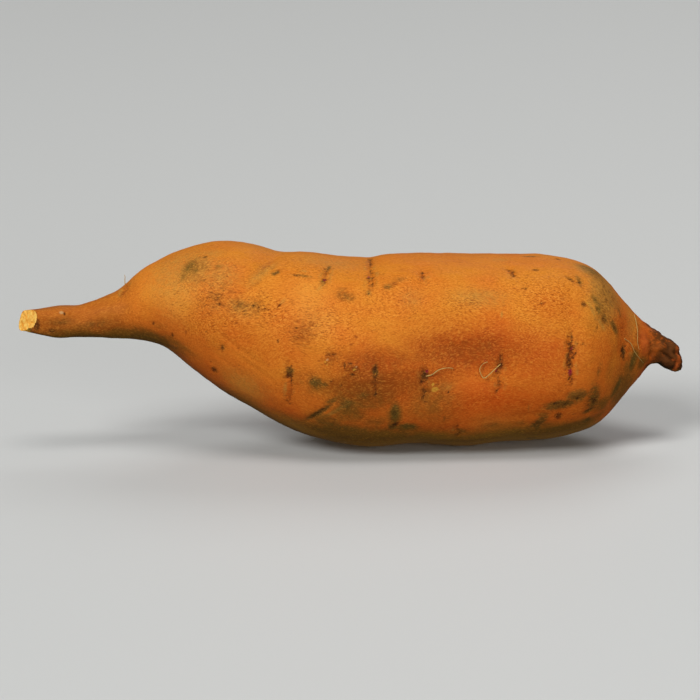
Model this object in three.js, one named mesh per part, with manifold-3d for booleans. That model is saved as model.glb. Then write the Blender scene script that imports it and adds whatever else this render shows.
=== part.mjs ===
// A whole sweet potato, lying on its belly. Millimetres, +Z up, long axis along X:
// the cut neck points to -X and the tail to +X. The origin is under the middle of the
// box that holds it, on the surface that it rests on.

import * as THREE from 'three';
import { mergeVertices } from 'three/addons/utils/BufferGeometryUtils.js';
import Module from 'manifold-3d';

const wasm = await Module();
wasm.setup();

const sidesAround = 44; // points around each ring of skin
const ringGap = 3.1; // distance between rings, measured along the skin
const roundness = 2.08; // power of the section's outline, where 2 is a plain ellipse
const stubRoundness = 4.2; // the cut stub is squarer, and eases back to the body's roundness
const stubEnds = { square: -104, round: -88 };

// Each station is an upright slice across the root: top and bottom are its heights above
// the resting surface, width is its breadth across Y, and sway is its middle's place on Y.
const stations = [
  { x: -115, top: 45.0, bottom: 41.4, width: 5.6, sway: -6.4 }, // past the cut
  { x: -109, top: 46.2, bottom: 40.4, width: 6.6, sway: -5.4 },
  { x: -97, top: 47.5, bottom: 37.9, width: 10.4, sway: -3.6 }, // swollen stub
  { x: -89, top: 48.2, bottom: 37.5, width: 11.0, sway: -2.4 },
  { x: -81, top: 50.5, bottom: 37.0, width: 14.2, sway: -1.0 }, // neck
  { x: -74.5, top: 54.5, bottom: 36.5, width: 19.0, sway: 0.2 },
  { x: -69, top: 59.0, bottom: 35.8, width: 25.0, sway: 1.1 },
  { x: -61, top: 63.4, bottom: 33.0, width: 34.0, sway: 2.0 }, // under the shoulder
  { x: -52, top: 66.7, bottom: 25.5, width: 43.6, sway: 2.3 },
  { x: -42, top: 68.1, bottom: 17.8, width: 51.6, sway: 2.0 }, // hump
  { x: -32, top: 67.1, bottom: 12.4, width: 57.4, sway: 1.2 },
  { x: -23, top: 65.2, bottom: 7.4, width: 61.2, sway: 0.4 }, // waist
  { x: -13, top: 64.3, bottom: 3.4, width: 64.4, sway: -0.3 },
  { x: -4, top: 63.3, bottom: 1.1, width: 66.2, sway: -0.8 },
  { x: 5, top: 63.1, bottom: -0.3, width: 67.0, sway: -1.0 }, // front of the belly
  { x: 21, top: 63.7, bottom: 0.5, width: 67.0, sway: -0.8 },
  { x: 37, top: 63.3, bottom: -0.3, width: 66.0, sway: -0.2 }, // back of the belly
  { x: 52, top: 62.7, bottom: 1.0, width: 64.6, sway: 0.6 },
  { x: 65, top: 62.3, bottom: 1.3, width: 62.8, sway: 1.2 },
  { x: 74, top: 60.5, bottom: 3.1, width: 59.4, sway: 1.5 }, // rump
  { x: 80, top: 58.2, bottom: 5.4, width: 54.0, sway: 1.5 },
  { x: 85, top: 54.2, bottom: 9.1, width: 45.6, sway: 1.4 },
  { x: 90, top: 47.9, bottom: 14.8, width: 33.6, sway: 1.2 },
  { x: 95, top: 42.5, bottom: 20.6, width: 22.4, sway: 0.8 },
  { x: 99, top: 39.3, bottom: 25.1, width: 14.6, sway: 0.5 }, // root of the tail
  { x: 102.5, top: 36.9, bottom: 26.6, width: 10.8, sway: 0.2 },
  { x: 106, top: 34.3, bottom: 24.3, width: 9.4, sway: -0.2 }, // tail hooks down
  { x: 108.6, top: 32.4, bottom: 23.4, width: 7.8, sway: -0.4 },
  { x: 109.6, top: 31.2, bottom: 23.4, width: 6.8, sway: -0.5 }, // broken tip
  { x: 110.1, top: 29.6, bottom: 23.8, width: 5.4, sway: -0.5 },
];

// Broad hollows and swellings. Bearing turns about the long axis in degrees: 0 is the
// near side (-Y), 90 the top, 180 the far side, 270 the underside. The form reaches
// `along` X and `around` the girth in mm, stands `out` mm proud (or is sunk if negative),
// and its line leans by `lean` mm of X for each mm around the girth.
const forms = [
  { x: -26, bearing: 88, along: 5, around: 20, out: -1.1, lean: 0.25 }, // crease behind the hump
  { x: 3, bearing: 86, along: 7, around: 17, out: -0.8, lean: 0 }, // saddle
  { x: 36, bearing: 9, along: 20, around: 8, out: -2.2, lean: 0 }, // hollow along the near flank
  { x: 55, bearing: -16, along: 17, around: 9, out: 1.3, lean: 0 }, // swelling under it
  { x: 22, bearing: -38, along: 52, around: 12, out: 1.2, lean: 0 }, // full lower flank
  { x: 24, bearing: 52, along: 18, around: 10, out: 0.8, lean: 0 }, // near shoulder
  { x: -52, bearing: 20, along: 14, around: 12, out: 0.9, lean: 0 }, // near cheek of the hump
  { x: -14, bearing: -30, along: 16, around: 10, out: 0.7, lean: 0 },
  { x: -8, bearing: 150, along: 14, around: 11, out: -1.2, lean: -0.2 }, // hollows of the far side
  { x: 48, bearing: 172, along: 20, around: 8, out: -1.0, lean: 0 },
  { x: 20, bearing: 204, along: 17, around: 11, out: 1.0, lean: 0 },
  { x: -44, bearing: 165, along: 12, around: 12, out: 0.9, lean: 0 },
  { x: 70, bearing: 128, along: 10, around: 12, out: 0.8, lean: 0 },
];

// The knife cut that freed the root from its vine: it passes through this point, and its
// face turns from -X towards the near side and a little upwards.
const cut = { through: new THREE.Vector3(-107.4, -5.4, 42.4), turn: 42, tilt: 12 };
const cutterSize = 40;
const slabSize = new THREE.Vector3(300, 120, 20);

const skinMaterial = new THREE.MeshStandardMaterial({
  color: 0xc4722c,
  roughness: 0.5,
  metalness: 0,
});

const radians = THREE.MathUtils.degToRad;

// Slope of one outline at station i, from the straight runs on both sides of it.
function slopeAt(key, i) {
  const run = (a, b) => (stations[b][key] - stations[a][key]) / (stations[b].x - stations[a].x);
  if (i === 0) return run(0, 1);
  if (i === stations.length - 1) return run(i - 1, i);
  const before = stations[i].x - stations[i - 1].x;
  const after = stations[i + 1].x - stations[i].x;
  return (run(i - 1, i) * after + run(i, i + 1) * before) / (before + after);
}

// One outline's value at x, on a smooth curve through the stations.
function outlineAt(key, x) {
  const next = stations.findIndex((station, i) => i > 0 && x <= station.x);
  const i = (next < 0 ? stations.length - 1 : next) - 1;
  const from = stations[i];
  const to = stations[i + 1];
  const run = to.x - from.x;
  const t = (x - from.x) / run;
  const start = (1 + 2 * t) * (1 - t) ** 2 * from[key] + t * (1 - t) ** 2 * run * slopeAt(key, i);
  const end = t * t * (3 - 2 * t) * to[key] - t * t * (1 - t) * run * slopeAt(key, i + 1);
  return start + end;
}

// How far the hollows and swellings move the skin outwards at one place.
function formsAt(x, bearing, radius) {
  let out = 0;
  for (const form of forms) {
    const offset = bearing - radians(form.bearing);
    const turn = Math.atan2(Math.sin(offset), Math.cos(offset));
    const around = turn * radius;
    const along = x - form.x - form.lean * around;
    out += form.out * Math.exp(-((along / form.along) ** 2) - (around / form.around) ** 2);
  }
  return out;
}

// A signed power, which squares or rounds one side of the section's outline.
function shaped(value, power) {
  return Math.sign(value) * Math.abs(value) ** (2 / power);
}

function skinPoint(x, bearing) {
  const top = outlineAt('top', x);
  const bottom = outlineAt('bottom', x);
  const width = outlineAt('width', x);
  const out = formsAt(x, bearing, width / 2);
  const halfWidth = width / 2 + out;
  const halfHeight = (top - bottom) / 2 + out;
  const rounding = THREE.MathUtils.smoothstep(x, stubEnds.square, stubEnds.round);
  const power = THREE.MathUtils.lerp(stubRoundness, roundness, rounding);
  const near = shaped(Math.cos(bearing), power);
  const up = shaped(Math.sin(bearing), power);
  return [x, outlineAt('sway', x) - halfWidth * near, (top + bottom) / 2 + halfHeight * up];
}

// Places of the rings, which stand closer together where the flanks are steep.
function ringPlaces() {
  const last = stations[stations.length - 1].x;
  const places = [];
  let x = stations[0].x;
  while (x < last - 0.3) {
    places.push(x);
    const rise = (outlineAt('top', x + 0.5) - outlineAt('top', x)) / 0.5;
    const fall = (outlineAt('bottom', x + 0.5) - outlineAt('bottom', x)) / 0.5;
    x += ringGap / Math.hypot(1, Math.max(Math.abs(rise), Math.abs(fall)));
  }
  places.push(last);
  return places;
}

// The uncut root: rings of skin joined in strips, with a fan over each end.
function rootGeometry() {
  const places = ringPlaces();
  const points = [];
  for (const x of places) {
    for (let side = 0; side < sidesAround; side += 1) {
      points.push(...skinPoint(x, (side / sidesAround) * 2 * Math.PI));
    }
  }
  const triangles = [];
  const corner = (ring, side) => ring * sidesAround + (side % sidesAround);
  for (let ring = 0; ring < places.length - 1; ring += 1) {
    for (let side = 0; side < sidesAround; side += 1) {
      const a = corner(ring, side);
      const b = corner(ring, side + 1);
      const c = corner(ring + 1, side + 1);
      const d = corner(ring + 1, side);
      triangles.push(a, c, b, a, d, c);
    }
  }
  for (const ring of [0, places.length - 1]) {
    const x = places[ring];
    const middleZ = (outlineAt('top', x) + outlineAt('bottom', x)) / 2;
    const middle = points.length / 3;
    points.push(x, outlineAt('sway', x), middleZ);
    for (let side = 0; side < sidesAround; side += 1) {
      const a = corner(ring, side);
      const b = corner(ring, side + 1);
      triangles.push(...(ring === 0 ? [middle, a, b] : [middle, b, a]));
    }
  }
  const geometry = new THREE.BufferGeometry();
  geometry.setAttribute('position', new THREE.Float32BufferAttribute(points, 3));
  geometry.setIndex(triangles);
  return geometry;
}

function toSolid(geometry) {
  const bare = geometry.clone();
  bare.deleteAttribute('normal');
  bare.deleteAttribute('uv');
  const merged = mergeVertices(bare);
  const mesh = new wasm.Mesh({
    numProp: 3,
    vertProperties: new Float32Array(merged.attributes.position.array),
    triVerts: new Uint32Array(merged.index.array),
  });
  return new wasm.Manifold(mesh);
}

function toGeometry(solid) {
  const mesh = solid.getMesh();
  const geometry = new THREE.BufferGeometry();
  geometry.setAttribute('position', new THREE.BufferAttribute(mesh.vertProperties, 3));
  geometry.setIndex(new THREE.BufferAttribute(mesh.triVerts, 1));
  return geometry;
}

// A block whose +X face is the knife cut through the neck.
function knifeBlock() {
  const block = new THREE.BoxGeometry(cutterSize, cutterSize, cutterSize);
  block.translate(-cutterSize / 2, 0, 0);
  block.rotateY(radians(cut.tilt));
  block.rotateZ(radians(cut.turn));
  block.translate(cut.through.x, cut.through.y, cut.through.z);
  return block;
}

// A slab under the resting surface, which leaves the belly's two small flats.
function restingSlab() {
  const slab = new THREE.BoxGeometry(slabSize.x, slabSize.y, slabSize.z);
  slab.translate(0, 0, -slabSize.z / 2);
  return slab;
}

function sweetPotato() {
  const root = toSolid(rootGeometry());
  const trimmed = root.subtract(toSolid(knifeBlock())).subtract(toSolid(restingSlab()));
  const geometry = toGeometry(trimmed);
  geometry.computeBoundingBox();
  const middle = geometry.boundingBox.getCenter(new THREE.Vector3());
  geometry.translate(-middle.x, -middle.y, -geometry.boundingBox.min.z);
  geometry.computeVertexNormals();
  const mesh = new THREE.Mesh(geometry, skinMaterial);
  mesh.name = 'sweet_potato';
  return mesh;
}

const part = new THREE.Group();
part.add(sweetPotato());

export default part;
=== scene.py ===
import math
import random
from functools import partial

import bpy
import numpy as np
from mathutils import Matrix, Vector, noise
from mathutils.bvhtree import BVHTree


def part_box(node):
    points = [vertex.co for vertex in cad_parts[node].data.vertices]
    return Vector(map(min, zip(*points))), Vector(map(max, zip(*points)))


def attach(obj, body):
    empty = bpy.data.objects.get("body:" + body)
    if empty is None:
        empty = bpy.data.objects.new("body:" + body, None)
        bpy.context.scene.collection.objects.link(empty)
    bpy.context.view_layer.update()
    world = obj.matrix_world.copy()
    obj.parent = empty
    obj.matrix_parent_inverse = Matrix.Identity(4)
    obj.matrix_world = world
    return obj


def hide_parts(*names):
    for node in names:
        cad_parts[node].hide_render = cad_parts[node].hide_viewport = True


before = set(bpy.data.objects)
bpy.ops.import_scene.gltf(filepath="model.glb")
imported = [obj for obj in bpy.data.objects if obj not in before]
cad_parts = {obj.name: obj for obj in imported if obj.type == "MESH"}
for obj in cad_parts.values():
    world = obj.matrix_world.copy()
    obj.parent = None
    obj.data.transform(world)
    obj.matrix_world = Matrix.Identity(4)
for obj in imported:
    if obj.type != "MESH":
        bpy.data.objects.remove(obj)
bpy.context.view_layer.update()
mm = 0.001
print("frame loaded")


def linearColour(hexCode):
    # sRGB hex to the linear values that shaders take
    steps = [int(hexCode[i:i + 2], 16) / 255 for i in (1, 3, 5)]
    return tuple(c / 12.92 if c <= 0.04045 else ((c + 0.055) / 1.055) ** 2.4 for c in steps) + (1.0,)


def addNode(tree, kind, settings=None, links=None):
    # one shader node, with its settings by name or socket number, and its links by socket:
    # a link comes from a socket, or from a node's first output. A mix node's sockets go by
    # number: 0 is the share, 6 and 7 are its colours, 2 and 3 its plain values.
    node = tree.nodes.new("ShaderNode" + kind)
    for name, value in (settings or {}).items():
        if isinstance(name, int) or name in node.inputs:
            node.inputs[name].default_value = value
        else:
            setattr(node, name, value)
    for name, source in (links or {}).items():
        tree.links.new(getattr(source, "outputs", [source])[0], node.inputs[name])
    return node


def newMaterial(name):
    # an empty material, and the function that adds a node to it
    material = bpy.data.materials.new(name)
    material.use_nodes = True
    material.node_tree.nodes.clear()
    return material, partial(addNode, material.node_tree)


def newMesh(name, points, faces):
    # a smooth mesh, from points in millimetres
    mesh = bpy.data.meshes.new(name)
    mesh.from_pydata([tuple(p * mm) for p in points], [], faces)
    mesh.polygons.foreach_set("use_smooth", [True] * len(faces))
    return mesh


def addObject(name, data):
    added = bpy.data.objects.new(name, data)
    bpy.context.scene.collection.objects.link(added)
    return added


camera = {
    "distance": 1.2,      # m from the root's middle, far off for a flat look
    "elevation": 12.0,    # degrees above the table
    "roll": 0.5,          # degrees: the table line climbs a little to the right
    "lens": 185.1,        # mm
    "sensor": 36.0,       # mm across
    "farthest": 50.0,     # m
    "target": (-0.13 * mm, 0.0, 31.92 * mm),
}


def addCamera(settings):
    data = bpy.data.cameras.new("studioCamera")
    data.lens = settings["lens"]
    data.sensor_width = settings["sensor"]
    data.clip_end = settings["farthest"]
    tilt = Matrix.Rotation(math.radians(90.0 - settings["elevation"]), 4, "X")
    roll = Matrix.Rotation(math.radians(-settings["roll"]), 4, "Z")
    back = tilt @ Vector((0.0, 0.0, settings["distance"]))
    body = addObject("studioCamera", data)
    body.matrix_world = Matrix.Translation(Vector(settings["target"]) + back) @ tilt @ roll
    bpy.context.scene.camera = body


table = {
    "size": 8.0,      # m, so that its edge is never seen
    "paint": "#C9CAC8",
    "roughness": 0.6,
}


def addTable(settings):
    # painted board: even, pale, with a soft dull sheen
    material, add = newMaterial("paintedBoard")
    shader = add("BsdfPrincipled", {
        "Base Color": linearColour(settings["paint"]), "Roughness": settings["roughness"]})
    add("OutputMaterial", links={"Surface": shader})
    half = settings["size"] / 2
    mesh = bpy.data.meshes.new("table")
    corners = [(-half, -half, 0), (half, -half, 0), (half, half, 0), (-half, half, 0)]
    mesh.from_pydata(corners, [], [(0, 1, 2, 3)])
    mesh.materials.append(material)
    board = addObject("table", mesh)
    board.visible_diffuse = False  # keeps its light off the underside, which lies in shade
    board.visible_glossy = False


lamps = [  # soft boxes: azimuth turns from the viewer's side (-Y) towards +X
    {"name": "keyBox", "azimuth": -38, "elevation": 36, "away": 6.0, "size": 2.6, "watts": 232.0},
    {"name": "topBox", "azimuth": 10, "elevation": 78, "away": 6.0, "size": 3.2, "watts": 124.0},
    {"name": "fillBox", "azimuth": 22, "elevation": 8, "away": 6.0, "size": 3.2, "watts": 162.0},
    {"name": "backBox", "azimuth": 165, "elevation": 40, "away": 6.0, "size": 3.2, "watts": 66.0},
]
sky = {"colour": "#FFFFFF", "strength": 0.14}


def addLamps(lampList, skySettings):
    for lamp in lampList:
        data = bpy.data.lights.new(lamp["name"], "AREA")
        data.shape = "DISK"
        data.size = lamp["size"]
        data.energy = lamp["watts"]
        azimuth = math.radians(lamp["azimuth"])
        elevation = math.radians(lamp["elevation"])
        level = math.cos(elevation)
        way = Vector((math.sin(azimuth) * level, -math.cos(azimuth) * level, math.sin(elevation)))
        body = addObject(lamp["name"], data)
        body.location = way * lamp["away"]
        body.rotation_euler = way.to_track_quat("Z", "Y").to_euler()
    world = bpy.data.worlds.new("studioAir")
    world.use_nodes = True
    air = world.node_tree.nodes["Background"]
    air.inputs["Color"].default_value = linearColour(skySettings["colour"])
    air.inputs["Strength"].default_value = skySettings["strength"]
    bpy.context.scene.world = world


bpy.context.scene.view_settings.view_transform = "Standard"
addCamera(camera)
addTable(table)
addLamps(lamps, sky)
print("camera, table and lights made")


# Lengths are in millimetres until the mesh is made. Bearing turns about the long axis in
# degrees: 0 faces the viewer's side (-Y), 90 is the top, 180 the far side, 270 underneath.

skin = {
    "rows": 376,            # along the root
    "columns": 240,         # around it
    "seam": 225.0,          # bearing of the texture seam, low on the far side
    "facetSoftening": 3.0,  # rows and columns over which the solid's facets are smoothed
    "domeRows": 8,          # steps from the last row to the tail's tip
    "tipSunk": 0.4,         # how far the last point of the tip is drawn in
}


def soften(grid, reach, axis, wrap):
    # a Gaussian blur along one axis of a grid
    count = int(math.ceil(reach * 3))
    weights = np.exp(-0.5 * (np.arange(-count, count + 1) / reach) ** 2)
    weights /= weights.sum()
    pad = [(0, 0)] * grid.ndim
    pad[axis] = (count, count)
    wide = np.pad(grid, pad, mode="wrap" if wrap else "edge")
    length = grid.shape[axis]
    return sum(w * np.take(wide, range(k, k + length), axis) for k, w in enumerate(weights))


def smoothStep(value, low, high):
    t = np.clip((value - low) / (high - low), 0.0, 1.0)
    return t * t * (3 - 2 * t)


def unit(vectors):
    return vectors / np.linalg.norm(vectors, axis=-1, keepdims=True)


def readSolid(node):
    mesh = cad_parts[node].data
    points = [v.co / mm for v in mesh.vertices]
    faces = [tuple(p.vertices) for p in mesh.polygons]
    return mesh, BVHTree.FromPolygons(points, faces)


def findCut(mesh, reach=8.0, facing=-0.5):
    # the largest flat that faces the neck's end: its outward direction and a point on it
    low = min(v.co.x for v in mesh.vertices)
    flats = {}
    for face in mesh.polygons:
        if face.center.x < low + reach * mm and face.normal.x < facing:
            flats.setdefault(tuple(round(c, 2) for c in face.normal), []).append(face)
    widest = max(flats.values(), key=lambda faces: sum(f.area for f in faces))
    area = sum(f.area for f in widest)
    centre = sum((f.center * f.area for f in widest), Vector()) / area
    return np.array(widest[0].normal), np.array(centre / mm)


def feel(tree, origin, way):
    # how far off the skin is
    return tree.ray_cast(Vector(origin), Vector(way))[3] or 0.0


spineWalk = {
    "step": 1.0,       # between slices, and half of that towards the tail
    "neckGap": 5.0,    # how far short of the cut the slices end
    "tailGap": 1.0,    # and how far short of the tip
    "lead": (10, 3),   # slices carried on past the cut, and how many give their slope
}


def findSpine(tree, cutPoint):
    # middles of upright slices, found by feeling for the skin from inside, tail to neck
    low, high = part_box("sweet_potato")
    start = np.array([0.0, (low.y + high.y) / 2 / mm, (low.z + high.z) / 2 / mm])

    def middle(point):
        for axis in ((0, 0, 1), (0, 1, 0)):
            way = np.array(axis, float)
            point = point + way * (feel(tree, point, way) - feel(tree, point, -way)) / 2
        return point

    def walk(end, step):
        found, point = [], middle(middle(start))
        while (point[0] + step) * np.sign(step) < end * np.sign(step):
            point = middle(point + np.array([step, 0, 0]))
            found.append(point)
        return found

    toNeck = walk(cutPoint[0] + spineWalk["neckGap"], -spineWalk["step"])
    toTail = walk(high.x / mm - spineWalk["tailGap"], spineWalk["step"] / 2)
    spine = np.array(toNeck[::-1] + [middle(middle(start))] + toTail)
    count, sloping = spineWalk["lead"]
    run = spine[sloping] - spine[0]
    lead = [spine[0] - run * k / sloping for k in range(count, 0, -1)]
    return np.array(lead + list(spine))


rowPlan = {
    "start": 0.03,              # how far inside the cut the first row lies
    "cutSlices": 20,            # the cut lies among this many slices of the spine
    "samples": 1200,            # fine places along the spine, from which rows are picked
    "spineSoftening": 12.0,     # in samples
    "slopeSoftening": 4.0,      # in samples, and in rows
    "steepest": 3.0,            # steeper flanks bring the rows no closer together
    "tailLean": (88.0, 100.0),  # X over which the rows start to lean with the tail
    "neckLean": (60.0, 80.0),   # and -X, with the neck
    "cutEase": 12.0,            # over which they turn into the slanting cut
}


def layRows(tree, spine, cutWay, cutPoint, plan):
    # places and directions of the rows: even along the skin, leaning into the cut
    inward = -cutWay
    depth = (spine - cutPoint) @ inward
    near = slice(plan["cutSlices"])
    first = np.interp(plan["start"], depth[near], spine[near, 0])
    xs = np.linspace(first, spine[-1, 0], plan["samples"])
    line = np.stack([xs] + [np.interp(xs, spine[:, 0], spine[:, k]) for k in (1, 2)], 1)
    line[:, 1:] = soften(line[:, 1:], plan["spineSoftening"], 0, False)
    reach = np.array([[feel(tree, p, w) for w in ((0, 0, 1), (0, 0, -1), (0, 1, 0), (0, -1, 0))]
                      for p in line])
    steep = np.abs(np.gradient(soften(reach, plan["slopeSoftening"], 0, False), xs, axis=0)).max(1)
    travel = np.cumsum(np.hypot(1.0, np.clip(steep, 0, plan["steepest"])) * (xs[1] - xs[0]))
    places = np.interp(np.linspace(travel[0], travel[-1], skin["rows"]), travel, xs)
    origins = np.stack([places] + [np.interp(places, xs, line[:, k]) for k in (1, 2)], 1)
    tangents = unit(soften(np.gradient(origins, axis=0), plan["slopeSoftening"], 0, False))
    ends = smoothStep(places, *plan["tailLean"]) + smoothStep(-places, *plan["neckLean"])
    upright = np.array([1.0, 0.0, 0.0])
    tangents = unit(tangents * ends[:, None] + upright * (1 - ends[:, None]))
    lean = 1 - smoothStep((origins - cutPoint) @ inward, 0.0, plan["cutEase"])
    tangents = unit(tangents * (1 - lean[:, None]) + inward * lean[:, None])
    return origins, tangents


def castSkin(tree, origins, tangents, bearings):
    # where rays from the rows' middles meet the solid, and the tip of the tail
    near = unit(np.array([0.0, -1.0, 0.0]) + tangents * tangents[:, 1:2])
    up = np.cross(near, tangents)
    angle = np.radians(bearings)
    ways = near[:, None] * np.cos(angle)[None, :, None] + up[:, None] * np.sin(angle)[None, :, None]
    tail = tangents[-1]
    swings = [math.radians(90.0 * k / skin["domeRows"]) for k in range(1, skin["domeRows"])]
    domes = np.array([ways[-1] * math.cos(swing) + tail * math.sin(swing) for swing in swings])
    ways = np.concatenate([ways, domes])
    starts = np.concatenate([origins, [origins[-1]] * len(domes)])
    reach = np.array([[feel(tree, s, w) for w in row] for s, row in zip(starts, ways)])
    reach = soften(reach, skin["facetSoftening"], 1, True)
    rim = reach[0].copy()
    reach = soften(reach, skin["facetSoftening"] / 2, 0, False)
    reach[0] = rim
    tip = origins[-1] + tail * feel(tree, origins[-1], tail)
    return starts[:, None] + ways * reach[:, :, None], tip


solid, solidTree = readSolid("sweet_potato")
cutWay, cutPoint = findCut(solid)
spine = findSpine(solidTree, cutPoint)
origins, tangents = layRows(solidTree, spine, cutWay, cutPoint, rowPlan)
bearings = skin["seam"] - 360.0 + 360.0 * np.arange(skin["columns"]) / skin["columns"]
base, tailTip = castSkin(solidTree, origins, tangents, bearings)
print("skin laid over the solid", base.shape)

outward = unit(np.cross(np.gradient(base, axis=0), np.roll(base, -1, 1) - np.roll(base, 1, 1)))
girth = np.linalg.norm(base - base.mean(1, keepdims=True), axis=2).mean(1)  # mean radius of each row


def noiseField(size, seed, octaves=2, stretch=1.0):
    # seeded noise over the skin, about -1 to 1, with lumps of about `size` mm, that the
    # stretch draws out along the root
    shift = Vector((seed * 7.31, seed * 3.17, seed * 5.53))
    spots = (base / (size * np.array([stretch, 1.0, 1.0]))).reshape(-1, 3)
    values = [noise.fractal(Vector(p) + shift, 1.0, 2.0, octaves) for p in spots]
    return np.array(values).reshape(base.shape[:2])


def arcFrom(bearing):
    # distance around the girth from a bearing, in mm
    turn = (bearings - bearing + 180.0) % 360.0 - 180.0
    return np.radians(turn)[None, :] * girth[:, None]


def placeOn(x, bearing):
    # a place on the skin, with its directions along, around and out of it
    column = int(round((bearing - bearings[0]) / 360.0 * skin["columns"])) % skin["columns"]
    row = int(np.clip(np.argmin(np.abs(base[:, column, 0] - x)), 1, len(base) - 2))
    along = unit(base[row + 1, column] - base[row - 1, column])
    out = outward[row, column]
    return base[row, column], along, np.cross(out, along), out


spotDepth = 12.0  # mm: a spot fades this far through the root, so the far side of the body is spared


def spotField(x, bearing, along, around, turn=0.0):
    # a soft round or long spot on the skin, 1 in its middle
    centre, lengthwise, crosswise, out = placeOn(x, bearing)
    offset = base - centre
    forward, sideways, above = offset @ lengthwise, offset @ crosswise, offset @ out
    sine, cosine = math.sin(math.radians(turn)), math.cos(math.radians(turn))
    lengths = (forward * cosine + sideways * sine) / along
    widths = (sideways * cosine - forward * sine) / around
    return np.exp(-lengths ** 2 - widths ** 2 - (above / spotDepth) ** 2)


def spotsOf(rows):
    # a row holds a spot's strength before its turn
    return [row[4] * spotField(*row[:4], *row[5:]) for row in rows]


relief = {  # size in mm, height in mm and stretch along the root
    "lumps": (24.0, 0.42, 1.3),
    "ripples": (8.0, 0.18, 1.2),
    "veins": (3.4, 0.07, 7.0),     # long faint ridges
    "leather": (2.0, 0.07, 1.5),
    "crinkle": (1.5, 0.16, 0.7),   # where the skin is rough round a scar
    "neckGrain": (5.0, 0.25, 1.8),
    "tailKnobs": (3.0, 0.6, 1.0),
    "tailCracks": (1.5, 0.25, 2.5),
}
swell = {"body": 0.08, "neck": 0.12, "tail": 0.08}  # mm, against what smoothing takes off

# Eyes are the scars across the skin where rootlets came out. They stand in five rows
# along the root: place along X, bearing, length around, lean and darkness.
eyes = [
    (6.8, 70, 27, 0, 0.7), (-7.6, 60, 10, 0.08, 0.6), (24.1, 56, 6, 0, 0.6),
    (53.0, 65, 5, -0.35, 0.7), (-20.2, -16, 15, 0.03, 0.7), (8.2, -5, 11, 0, 0.7),
    (24.0, -8, 11, 0.05, 0.7), (48.4, -3, 13, 0.03, 0.7), (71.8, 4, 19, 0.02, 0.9),
    (-74.6, 62, 7, 0, 0.5), (90.4, 6, 5, 0, 0.9),
    (-30, 140, 12, 0.05, 0.7), (-4, 150, 15, 0, 0.8), (29, 143, 18, -0.04, 0.9),
    (58, 150, 11, 0.04, 0.7), (-42, 205, 9, 0, 0.7), (-12, 212, 14, 0.05, 0.9),
    (17, 218, 12, 0, 0.8), (44, 208, 16, -0.05, 0.8), (70, 215, 12, 0, 0.9),
    (-26, 252, 11, 0, 0.6), (62, 254, 12, 0, 0.7), (35, 318, 8, 0, 0.5),
]
eyeShape = {  # in mm
    "trough": (2.6, 0.42),      # half width and depth
    "slit": (0.7, 0.38),
    "lips": (1.7, 0.7, 0.12),   # how far from the slit, half width and height
    "roughSkin": 1.7,           # half width
    "reach": (0.5, 1.1),        # of the scar and of the trough, as shares of the length
    "bends": (5.0, 0.9),        # size and how far they move the line
    "gaps": (2.2, 1.6, 0.4),    # size, contrast and how much is left on average
    "least": 0.1,               # what is left in a gap
    "slitStain": 0.75,          # how dark the slit is, and how strong the other stains
    "roughStain": 0.6,
    "lipStain": 0.6,
    "dots": (0.3, 0.6),         # smallest and largest radius
    "dotStain": (0.7, 1.2),
    "dotGap": 0.75,
    "dotScatter": 0.9,
}


def carveEyes(shape):
    # how deep the eyes are, and where they are scarred, rough and pale
    troughWidth, troughDepth = shape["trough"]
    slitWidth, slitDepth = shape["slit"]
    lipPlace, lipWidth, lipHeight = shape["lips"]
    scarReach, troughReach = shape["reach"]
    bendSize, bend = shape["bends"]
    gapSize, contrast, left = shape["gaps"]
    scatter = shape["dotScatter"]
    wander = noiseField(bendSize, 3) * bend
    broken = np.clip(noiseField(gapSize, 4, 1) * contrast + left, shape["least"], 1.0)
    pick = random.Random(7)
    sunk, scar, rough, pale = (np.zeros(base.shape[:2]) for _ in range(4))
    for x, bearing, length, lean, dark in eyes:
        arc = arcFrom(bearing)
        across = base[:, :, 0] - x - lean * arc + wander
        window = np.exp(-(arc / (length * scarReach)) ** 4)
        wide = np.exp(-(arc / (length * troughReach)) ** 2)
        trough = wide * troughDepth * np.exp(-(across / troughWidth) ** 2)
        slit = window * np.exp(-(across / slitWidth) ** 2) * broken * dark
        lips = window * np.exp(-((np.abs(across) - lipPlace) / lipWidth) ** 2)
        torn = window * np.exp(-(across / shape["roughSkin"]) ** 2) * (0.5 + 0.5 * dark)
        sunk += trough + slitDepth * slit - lipHeight * lips
        scar = np.maximum(scar, shape["slitStain"] * slit)
        pale = np.maximum(pale, lips * broken)
        rough = np.maximum(rough, torn)
        for place in np.arange(-length / 2, length / 2, shape["dotGap"]):
            aside = pick.uniform(-scatter, scatter)
            radius = pick.uniform(*shape["dots"])
            dot = np.exp(-((across - aside) ** 2 + (arc - place) ** 2) / radius ** 2)
            scar = np.maximum(scar, dot * dark * pick.uniform(*shape["dotStain"]))
    return sunk, scar, rough, pale


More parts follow.
